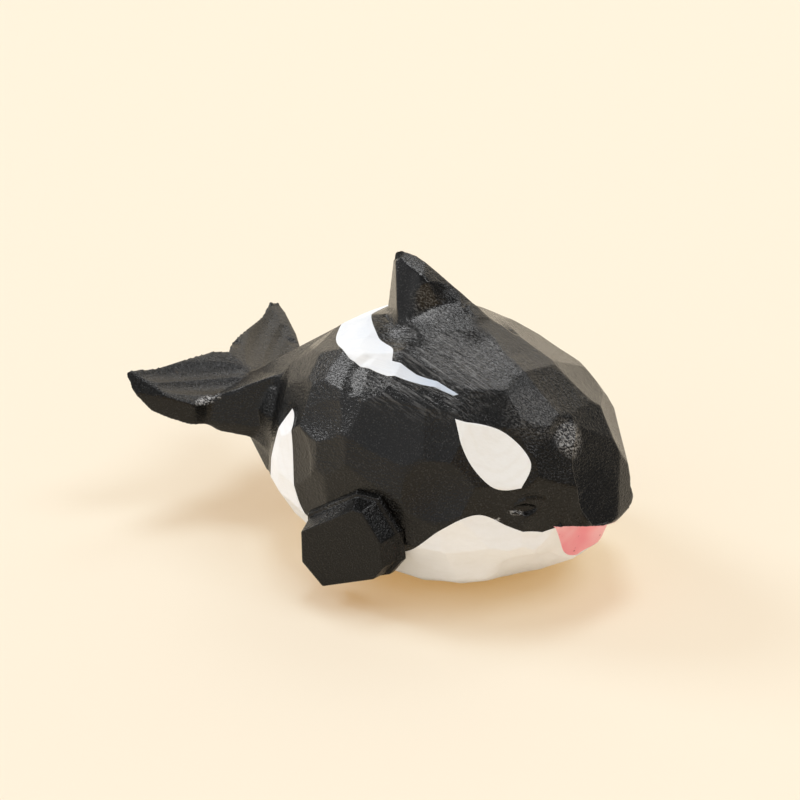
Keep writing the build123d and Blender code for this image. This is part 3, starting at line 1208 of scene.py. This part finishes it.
@dataclass
class CarvedBlock:
    """Head, trunk, fin, tail and flukes, which the carver cut from one block.

    Sizes are in millimetres. The marks are the line over each eye, the right eye's lid, a groove down
    the fin, the ridge in the mouth, the hollow under the jaw, nicks and splinters on the flukes, a
    scratch behind the fin and the bulge of the belly.
    """

    name: str = "carved_block"
    node: str = "carved_body"
    cell: float = 0.26
    triangles: int = 185000
    sharp_degrees: float = 75
    early_passes: int = 4
    late_passes: int = 1
    coat_overlap: float = 0.01
    axis_height: float = 17.3
    seed: int = 7
    smallest_facet: float = 9.0
    scoop_depth: Pair = (0.08, 0.18)
    scoop_length: Pair = (1.05, 1.3)
    scoop_width: Pair = (0.95, 1.1)
    scoop_drift: float = 0.3
    end_facing: float = 0.9
    floor_facing: float = -0.98
    trunk_rear: float = -20.0
    saddle_space: tuple[Pair, Pair, float] = ((-21.0, -4.0), (-18.0, 18.0), 36.0)
    paint: BlackPaint = BlackPaint(
        "black_body_paint",
        nicks=(Spot((-9.6, -0.6, 42.2), (0.7, 0.9, 1.3)),),
        calm=(Spot((-2.0, -4.5, 49.0), (6.0, 4.5, 6.5)), Spot((37.0, -4.0, 21.5), (5.0, 7.0, 8.5))),
        # Painted highlights and glints: on bright facets of the head, back, flank and fin, along the near
        # fluke's ridge and by the right eye.
        painted_highlight_spots=(
            Spot((31.2, -5.2, 30.6), (3.6, 3.4, 4.2), 0.42),
            Spot((-42.1, -14.1, 22.4), (1.6, 2.7, 0.8), 0.8),
            Spot((-40.6, -12.4, 23.1), (1.2, 1.7, 0.6), 0.5),
            Spot((2.0, -4.0, 48.0), (5.0, 3.2, 5.0), 0.13),
            Spot((27.7, -16.8, 20.2), (1.7, 1.6, 0.45), 0.6),
            Spot((25.3, -18.7, 18.9), (0.9, 0.9, 0.5), 0.6),
            Spot((-2.4, -17.3, 38.1), (5.2, 3.6, 3.0), 0.12),
            Spot((26.5, -8.5, 35.0), (7.5, 6.0, 5.0), 0.10),
            Spot((11.5, -7.0, 42.6), (11.0, 7.0, 5.0), 0.10),
        ),
    )
    photo_scoops: tuple[Scoop, ...] = (
        Scoop(-7, 27, (7.5, 4.6), 0.55, 8),
        Scoop(16, 15, (6.4, 5.0), 0.6, 20),
        Scoop(-8, 50, (5.5, 3.6), 0.3, -10),
        Scoop(5, 33, (7.0, 5.2), 0.35, 0),
        Scoop(13, 38, (5.5, 5.0), 0.3, 0),
        Scoop(24, 15, (4.6, 4.0), 0.35, 0),
    )
    strokes: tuple[Gouging, ...] = (*lobe_strokes(-1), *lobe_strokes(1))
    blends: tuple[Blend, ...] = (
        *on_both(Blend(((-6.5, -6.0, 43.7), (-3.0, -8.4, 43.8), (2.0, -8.6, 43.8), (6.5, -8.4, 43.4),
                        (9.5, -6.0, 43.2)), 3.4, 80)),
        *on_both(Blend(((-26.7, -9.5, 28.0), (-25.0, -13.0, 25.0), (-26.5, -12.0, 20.0),
                        (-27.0, -11.0, 15.0)), 3.8, 80)),
        *on_both(Blend(((-41.5, -14.5, 22.5), (-41.8, -15.0, 19.0), (-42.0, -14.0, 16.8)), 2.6, 35)),
        Blend(((-38.5, -9.0, 24.4), (-39.5, 0.0, 24.8), (-38.5, 9.0, 24.4)), 3.0, 40),
    )
    late_blends: tuple[Blend, ...] = (
        *on_both(Blend(((-52.4, -17.4, 27.5), (-51.3, -13.1, 27.2), (-50.2, -8.6, 27.0),
                        (-48.8, -4.3, 26.7)), 1.6, 8)),
        Blend(((9.4, -2.8, 45.2), (9.6, 0.5, 45.5), (9.4, 3.2, 45.2)), 2.4, 30),
        Blend(((8.0, -8.0, 43.0), (12.5, -7.0, 42.4), (16.0, -6.0, 41.4)), 4.0, 12),
    )
    shavings: tuple[Shaving, ...] = (
        Shaving((31.9, -5.0, 30.5), (0.655, -0.330, 0.680), 5.0, 0.30),
        Shaving((17.0, -4.5, 41.25), (0.26, -0.32, 0.91), 8.0, 0.0),
        Shaving((6.5, -5.5, 44.38), (0.22, -0.40, 0.89), 10.0, 0.0),
        Shaving((-2.4, -17.3, 38.1), (-0.23, -0.63, 0.742), 5.2, 0.15),
        Shaving((-7.2, -0.4, 54.3), (-0.62, -0.25, 0.74), 3.0, 0.05),
        Shaving((36.1, 3.7, 22.6), (0.90, -0.22, 0.375), 12.0, 0.0, 0.02),
        Shaving((28.3, -9.5, 7.9), (0.52, -0.42, -0.74), 10.0, 0.0),
    )
    marks: tuple[Mark, ...] = (
        *on_both(Mark(((27.0, -17.3, 21.4), (28.0, -16.4, 22.7), (29.4, -15.2, 23.4), (31.2, -13.3, 22.9)),
                      0.38, 0.42)),
        Mark(((27.4, -17.1, 20.0), (28.4, -16.3, 20.2)), 0.45, -0.35),
        Mark(((-3.7, -2.6, 51.6), (-3.0, -5.0, 48.6), (-2.2, -7.6, 44.8)), 1.3, 0.32),
        Mark(((35.2, -1.0, 13.2), (33.9, -1.6, 10.9)), 2.4, -0.7),
        Mark(((26.8, -15.7, 8.8), (28.5, -15.1, 9.3), (29.9, -13.2, 9.3), (30.7, -10.7, 9.2)), 2.2, 1.0),
        Mark(((-48.7, 2.9, 26.7), (-48.9, 4.0, 26.8)), 0.7, 0.45),
        Mark(((-45.2, 16.3, 23.6),), 0.8, 0.35),
        Mark(((-53.9, 21.3, 27.9),), 0.35, -0.45),
        Mark(((-53.5, 22.9, 27.7),), 0.35, -0.45),
        Mark(((-8.2, -4.0, 43.6), (-6.6, -5.3, 43.7)), 0.22, 0.30),
        Mark(((4.0, -17.0, 4.0), (13.0, -17.0, 3.6), (20.5, -16.0, 4.8)), 4.6, -1.1),
    )

    def build(self, frame: dict, coats: Iterable[str], effects: Effects) -> Object:
        """Build and dress the block.

        Args:
            frame: The loaded frame.
            coats: Names of the CAD coats that are let into it.
            effects: The shared node groups.

        Returns:
            The block.
        """
        packed = frame["nodes"]
        facets = self.facets(packed[self.node])
        base = merged_copy("block_base", packed[self.node])
        unions = [("UNION", merged_copy(coat + "_under", packed[coat], self.coat_overlap)) for coat in coats]
        form = combined(base.data, unions, "block_form")
        discard(base)
        fine = remeshed(form, self.cell, self.name)
        smoothed(fine, self.early_passes)
        self.scoop_facets(fine, facets)
        softened(fine, self.blends)
        self.carve_photo_places(fine)
        softened(fine, self.late_blends)
        smoothed(fine, self.late_passes)
        kept_on_floor(fine)
        fine = thinned(fine, self.triangles, self.name)
        soft_shading(fine, self.sharp_degrees)
        block = add_object(self.name, fine)
        finished(block, self.paint.make(effects), [self.node])
        return block

    def facets(self, source: Object) -> list[tuple[Vector, Vector, float]]:
        """Middle, direction and area of each flat cut on the CAD block, in millimetres.

        Args:
            source: The CAD object.

        Returns:
            One entry for each facet.
        """
        flat_degrees = 0.5
        shape = shape_of(source.data)
        bmesh.ops.remove_doubles(shape, verts=shape.verts, dist=FACET_WELD * MM)
        bmesh.ops.dissolve_limit(shape, angle_limit=math.radians(flat_degrees), verts=shape.verts,
                                 edges=shape.edges)
        found = [(face.calc_center_median() / MM, face.normal.copy(), face.calc_area() / MM**2)
                 for face in shape.faces]
        shape.free()
        return [entry for entry in found if entry[2] > self.smallest_facet]

    def scoop_facets(self, mesh: Mesh, facets: list[tuple[Vector, Vector, float]]) -> None:
        """Hollow each facet slightly, as a knife's curved stroke leaves it.

        Args:
            mesh: The fine mesh.
            facets: The CAD block's facets.
        """
        hand = random.Random(self.seed)
        form = FineForm(mesh)
        for centre, out, area in facets:
            size = math.sqrt(area / math.pi)
            drift = (hand.uniform(-self.scoop_drift, self.scoop_drift) for _ in range(2))
            along = Vector((1, *drift))
            if self.left_flat(centre, out):
                continue
            half = (size * hand.uniform(*self.scoop_length), size * hand.uniform(*self.scoop_width))
            form.scoop(Gouging(centre, out, along, half, hand.uniform(*self.scoop_depth)))
        form.write()

    def left_flat(self, centre: Vector, out: Vector) -> bool:
        """Whether a facet isn't hollowed: the ends, the foot, the tail and what lies under the saddle.

        Args:
            centre: Its middle, in millimetres.
            out: Its direction.

        Returns:
            Whether it stays as it is.
        """
        (x_low, x_high), (y_low, y_high), lowest = self.saddle_space
        under_saddle = x_low < centre.x < x_high and y_low < centre.y < y_high and centre.z > lowest
        end_or_foot = abs(out.x) > self.end_facing or out.z < self.floor_facing
        return end_or_foot or centre.x < self.trunk_rear or under_saddle

    def carve_photo_places(self, mesh: Mesh) -> None:
        """Cut the strokes, scoops, small facets and marks that the photo shows plainly.

        Args:
            mesh: The fine mesh.
        """
        tree = BVHTree.FromPolygons([v.co for v in mesh.vertices], [p.vertices for p in mesh.polygons])
        form = FineForm(mesh)
        for stroke in self.strokes:
            form.scoop(stroke)
        for scoop in self.photo_scoops:
            angle = math.radians(scoop.roll)
            ray = Vector((0, Flank.RIGHT.value * math.cos(angle), math.sin(angle)))
            start = Vector((scoop.x, 0, self.axis_height)) * MM
            hit, normal, _, _ = tree.ray_cast(start, ray)
            along = Matrix.Rotation(math.radians(scoop.twist), 3, normal) @ Vector((1, 0, 0))
            form.scoop(Gouging(hit / MM, normal, along, scoop.half, scoop.depth))
        form.write()
        for shaving in self.shavings:
            form.flat_cut(shaving)
        form.write()
        for mark in self.marks:
            form.groove(mark)
        form.write()


@dataclass
class PaintCoats:
    """The white and pink coats, as thin films over the block.

    Sizes are in millimetres. The curves of the eye, the cheek, the rump and the rear are drawn along
    and up, those of the saddle along and across, and the pink's across and up.
    """

    proud: float = 0.045
    thickness: float = 0.2
    sharp_degrees: float = 50
    eye_top: Curve = ((15.7, 34.7), (22.7, 33.2), (28.3, 28.6), (28.2, 24.6))
    eye_foot: Curve = ((28.2, 24.6), (24.6, 24.4), (19.8, 28.3), (15.7, 34.7))
    eye_knot: Triple = (23.5, 17, 28.5)
    cheek: Curve = ((31.2, 16.3), (26.7, 17.8), (22, 19.6), (17, 16.6), (10, 10.6), (0, 8))
    rump: Curve = ((0, 8), (-10, 10.6), (-14.4, 16), (-17.2, 26), (-19.3, 27.7))
    rear: Curve = ((-19.3, 27.7), (-22.2, 22.6), (-24.6, 12), (-26, 0))
    below: Curve = ((-26, 0), (-26, -2), (60, -2), (60, 17.2), (33.4, 17.2))
    saddle_rear: Curve = ((-19.6, 0), (-15.9, 8.3), (-8.3, 14.5), (1, 16.4))
    saddle_stroke: Curve = (
        (1, 16.4), (6, 15.9), (10.5, 15.5), (13.8, 15.0), (14.4, 14.5), (10.5, 14.65), (6, 14.75),
    )
    saddle_front: Curve = ((0.5, 14.2), (-1.2, 11.8), (-6, 9.3), (-11.2, 4), (-12.3, 0))
    pink: Curve = ((12.3, 17.28), (10.9, 15.3), (9.3, 12.8), (7.2, 9.9), (4.6, 8.5), (0, 8.1))
    lip_at: Pair = (0, 14.6)
    lip_corner: Pair = (12.4, 17.3)
    lip_half: float = 30.0
    lip_top: float = 50.0
    whole: Pair = (-60, 60)
    right: Pair = (-40, 0)
    left: Pair = (0, 40)
    back: Pair = (33, 50)
    snout: Pair = (28, 45)
    lip_length: Pair = (29.5, 60)

    def finishes(self) -> dict[str, WhitePaint | PinkPaint]:
        """Choose the paint of each coat.

        Returns:
            The paints by the name of the CAD node.
        """
        belly = WhitePaint("white_belly_paint", (0.87, 0.885, 0.92), rings=0.10, ring_centre=(12, 0, 30))
        saddle = WhitePaint("white_saddle_paint", (0.755, 0.77, 0.79), (0.50, 0.57, 0.68), stroke=0.8)
        paints = {"white_belly": belly, "white_saddle": saddle, "mouth_pink": PinkPaint()}
        x, y, z = self.eye_knot
        for flank in Flank:
            side, centre = flank.name.lower(), (x, flank.value * y, z)
            paints["eye_patch_" + side] = WhitePaint("white_eye_paint_" + side, (0.84, 0.865, 0.895),
                                                     rings=0.16, ring_centre=centre)
        return paints

    def shell(self, block: Object) -> Mesh:
        """A closed skin over the whole block, as thick as a coat.

        Args:
            block: The carved block.

        Returns:
            The skin's mesh.
        """
        outer, inner = shape_of(block.data), shape_of(block.data)
        for shape, offset in ((outer, self.proud), (inner, self.proud - self.thickness)):
            shape.normal_update()
            moves = [vert.normal * offset * MM for vert in shape.verts]
            for vert, move in zip(shape.verts, moves):
                vert.co += move
        bmesh.ops.reverse_faces(inner, faces=inner.faces)
        spare = mesh_of(inner, "coat_inside")
        outer.from_mesh(spare)
        bpy.data.meshes.remove(spare)
        return mesh_of(outer, "coat_shell")

    def outlines(self) -> dict[str, Outline]:
        """Draw the outline of each coat.

        Returns:
            The outlines by the name of the CAD node.
        """
        belly = (*spline_through(self.cheek), *spline_through(self.rump), *spline_through(self.rear),
                 *self.below)
        half_saddle = (*spline_through(self.saddle_rear), *self.saddle_stroke,
                       *spline_through(self.saddle_front), self.saddle_front[-1])
        saddle = (*half_saddle, *((x, -y) for x, y in reversed(half_saddle[1:-1])))
        half_pink = (*spline_through(self.pink), self.pink[-1])
        pink = (*half_pink, *((-y, z) for y, z in reversed(half_pink[:-1])), self.lip_at)
        eye = (*spline_through(self.eye_top), *spline_through(self.eye_foot))
        return {
            "white_belly": Outline(belly, 1, self.whole),
            "white_saddle": Outline(saddle, 2, self.back),
            "eye_patch_right": Outline(eye, 1, self.right),
            "eye_patch_left": Outline(eye, 1, self.left),
            "mouth_pink": Outline(pink, 0, self.snout),
        }

    def lip_space(self) -> Outline:
        """Draw the black upper lip, which the belly's white stays out of.

        Returns:
            The outline of its space.
        """
        slope = (self.lip_corner[1] - self.lip_at[1]) / self.lip_corner[0]
        half, top = self.lip_half, self.lip_top
        side = self.lip_at[1] + slope * half
        corners = (self.lip_at, (half, side), (half, top), (-half, top), (-half, side))
        return Outline(corners, 0, self.lip_length)

    def build(self, block: Object, effects: Effects) -> None:
        """Build and dress the coats.

        Args:
            block: The carved block.
            effects: The shared node groups.
        """
        shell = self.shell(block)
        outlines, finishes = self.outlines(), self.finishes()
        for node, outline in outlines.items():
            steps = [("INTERSECT", outline.cutter(node + "_cutter"))]
            if node == "white_belly":
                steps.append(("DIFFERENCE", self.lip_space().cutter("lip_space")))
                steps.append(("DIFFERENCE", outlines["mouth_pink"].cutter("pink_space")))
            mesh = combined(shell, steps, node + "_coat")
            kept_on_floor(mesh)
            soft_shading(mesh, self.sharp_degrees)
            finished(add_object(node + "_coat", mesh), finishes[node].make(effects), [node])
        bpy.data.meshes.remove(shell)


@dataclass
class Flippers:
    """The two carved paddles on their seats, and the pegs behind them."""

    cell: float = 0.24
    passes: int = 1
    sharp_degrees: float = 75
    paint: BlackPaint = BlackPaint(
        "black_flipper_paint",
        streaks=0.5,
        pores=0.8,
        specular=0.22,
        # Painted highlights on the flippers' top bevels.
        painted_highlight_spots=tuple(Spot((-2.6, side * 27.6, 16.5), (5.8, 2.6, 4.2), 0.10) for side in (-1, 1)),
    )

    def build(self, frame: dict, effects: Effects) -> None:
        """Build and dress the paddles, and dress the pegs.

        Args:
            frame: The loaded frame.
            effects: The shared node groups.
        """
        material = self.paint.make(effects)
        dowel = DowelWood().make(effects)
        for flank in Flank:
            side = flank.name.lower()
            node = "flipper_" + side
            form = merged_copy(node + "_form", frame["nodes"][node])
            fine = remeshed(form.data.copy(), self.cell, node + "_paddle")
            discard(form)
            smoothed(fine, self.passes)
            soft_shading(fine, self.sharp_degrees)
            finished(add_object(node + "_paddle", fine), material, [node])
            for slot in frame["nodes"]["flipper_peg_" + side].material_slots:
                slot.material = dowel


# The studio


@dataclass
class Studio:
    """Floor, light and camera.

    A glow of the room is its direction, the cosines where it starts and is full, and its light. A lamp
    is its name, its azimuth and elevation, its width in degrees and its strength. The camera's place
    is in millimetres, and the floor's size and the clip are in metres. The camera sees the floor in
    other colours than the figure meets it in: a dimmer base and a warm glow, which paint warm light
    into the figure's shadow on the floor.
    """

    dim: Colour = (0.32, 0.32, 0.32)
    glows: tuple[tuple[Triple, Pair, Colour], ...] = (
        ((-0.42, -0.90, 0.35), (0.25, 0.98), (1.02, 1.03, 1.04)),
        ((0.75, -0.65, -0.10), (0.60, 0.95), (1.0, 0.76, 0.48)),
        ((-0.30, 0.95, 0.05), (0.62, 0.86), (1.55, 1.36, 1.08)),
    )
    floor_tone: Colour = (0.86, 0.76, 0.61)
    # What the camera sees of the floor: a dimmer base and a warm glow, which paint warm light into the
    # shadow.
    floor_seen: Colour = (0.453, 0.522, 0.515)
    floor_glow: Colour = (0.406, 0.206, 0.051)
    floor_half: float = 3.0
    floor_rough: float = 0.9
    floor_mirror: float = 0.1
    azimuth: float = 35.0
    elevation: float = 23.5
    distance: float = 420.0
    aim: Pair = (-6.38, 26.23)
    floor_shift: float = 0.5
    focal_pixels: float = 2280.6
    picture_pixels: float = 800.0
    sensor: float = 36.0
    clip: Pair = (0.01, 20.0)
    lamps: tuple[tuple[str, Pair, float, float], ...] = (
        ("key_left", (-178.0, 34.0), 22.0, 1.04),
        ("key_top", (122.0, 73.0), 22.0, 1.00),
        ("key_back", (92.0, 46.0), 18.0, 0.22),
        ("fill_front", (26.0, 56.0), 25.0, 0.72),
    )

    def directions(self) -> tuple[Vector, Vector, Vector]:
        """How the camera is turned.

        Returns:
            Its right, up and backward directions.
        """
        turn, tilt = math.radians(self.azimuth), math.radians(self.elevation)
        back = Vector((math.sin(turn) * math.cos(tilt), -math.cos(turn) * math.cos(tilt), math.sin(tilt)))
        right = Vector((math.cos(turn), math.sin(turn), 0.0))
        return right, back.cross(right), back

    def camera(self) -> None:
        """Place the camera at the photo's angle."""
        right, up, back = self.directions()
        data = bpy.data.cameras.new("camera")
        data.sensor_width = self.sensor
        data.lens = self.focal_pixels * self.sensor / self.picture_pixels
        data.clip_start, data.clip_end = self.clip
        camera = add_object("camera", data)
        place = right * self.aim[0] + up * self.aim[1] + back * self.distance
        place.z -= self.floor_shift
        turn = Matrix((right, up, back)).transposed().to_4x4()
        camera.matrix_world = Matrix.Translation(place * MM) @ turn
        bpy.context.scene.camera = camera

    def sun(self, name: str, source: Pair, angle: float, strength: float) -> None:
        """A large soft lamp far away.

        Args:
            name: Name of the lamp.
            source: Azimuth and elevation that it shines from, in degrees.
            angle: How wide it looks, in degrees.
            strength: Its strength.
        """
        data = bpy.data.lights.new(name, "SUN")
        data.angle = math.radians(angle)
        data.energy = strength
        lamp = add_object(name, data)
        turn, tilt = (math.radians(part) for part in source)
        towards = Vector((math.cos(turn) * math.cos(tilt), math.sin(turn) * math.cos(tilt), math.sin(tilt)))
        lamp.rotation_euler = towards.to_track_quat("Z", "Y").to_euler()

    def world(self) -> None:
        """A dim room, brighter on the camera's left, with a warm table and a cream backdrop."""
        world = bpy.data.worlds.new("studio")
        world.use_nodes = True
        nodes = Nodes(world.node_tree)
        background = world.node_tree.nodes["Background"]
        look = nodes.add("ShaderNodeTexCoord").outputs["Generated"]
        room = self.dim
        for direction, (low, high), light in self.glows:
            dot = nodes.add("ShaderNodeVectorMath", operation="DOT_PRODUCT")
            nodes.link(look, dot.inputs[0])
            dot.inputs[1].default_value = Vector(direction).normalized()
            room = nodes.mix(nodes.remap(dot.outputs["Value"], low, high, smooth=True), room, light)
        nodes.link(room, background.inputs["Color"])
        background.inputs["Strength"].default_value = 1.0
        bpy.context.scene.world = world

    def floor(self) -> None:
        """A cream floor; to the camera it shows a dimmer base and a warm glow, which paint warm light into
        the figure's shadow.
        """
        shape = bmesh.new()
        bmesh.ops.create_grid(shape, x_segments=1, y_segments=1, size=self.floor_half)
        floor = add_object("floor", mesh_of(shape, "floor"))
        surface = Surface("cream_floor")
        # Painted light: for camera rays the floor gets a dimmer base and a warm glow, which lift and warm
        # the shadow it shows.
        seen = surface.nodes.add("ShaderNodeLightPath").outputs["Is Camera Ray"]
        tone = surface.nodes.mix(seen, self.floor_tone, self.floor_seen)
        glow = surface.nodes.mix(seen, (0.0, 0.0, 0.0), self.floor_glow)
        floor.data.materials.append(surface.dress(
            Base_Color=tone, Emission_Color=glow, Emission_Strength=1.0,
            Roughness=self.floor_rough, Specular_IOR_Level=self.floor_mirror,
        ))
        floor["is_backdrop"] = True

    def build(self) -> None:
        """Set up everything around the figure."""
        self.camera()
        self.world()
        self.floor()
        for lamp in self.lamps:
            self.sun(*lamp)
        bpy.context.scene.view_settings.view_transform = "Standard"


def write_sizes(packed: object, shown: object) -> None:
    """Turn the CAD box and the visual model's box into plain numbers, which are not kept.

    Args:
        packed: The box straight after loading.
        shown: The box at the end.
    """
    def plain(box: object) -> list[list[float]]:
        """A box as plain numbers."""
        return [[float(part) for part in corner] for corner in box]

    {"cad": plain(packed), "visual": plain(shown)}


def main() -> None:
    """Build the whole scene."""
    logging.basicConfig(level=logging.INFO, format="%(name)s %(message)s")
    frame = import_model()
    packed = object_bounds()
    effects = Effects()
    Studio().build()
    coats = PaintCoats()
    block = CarvedBlock().build(frame, coats.outlines(), effects)
    coats.build(block, effects)
    Flippers().build(frame, effects)
    write_sizes(packed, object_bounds())


if __name__ == "__main__":
    main()
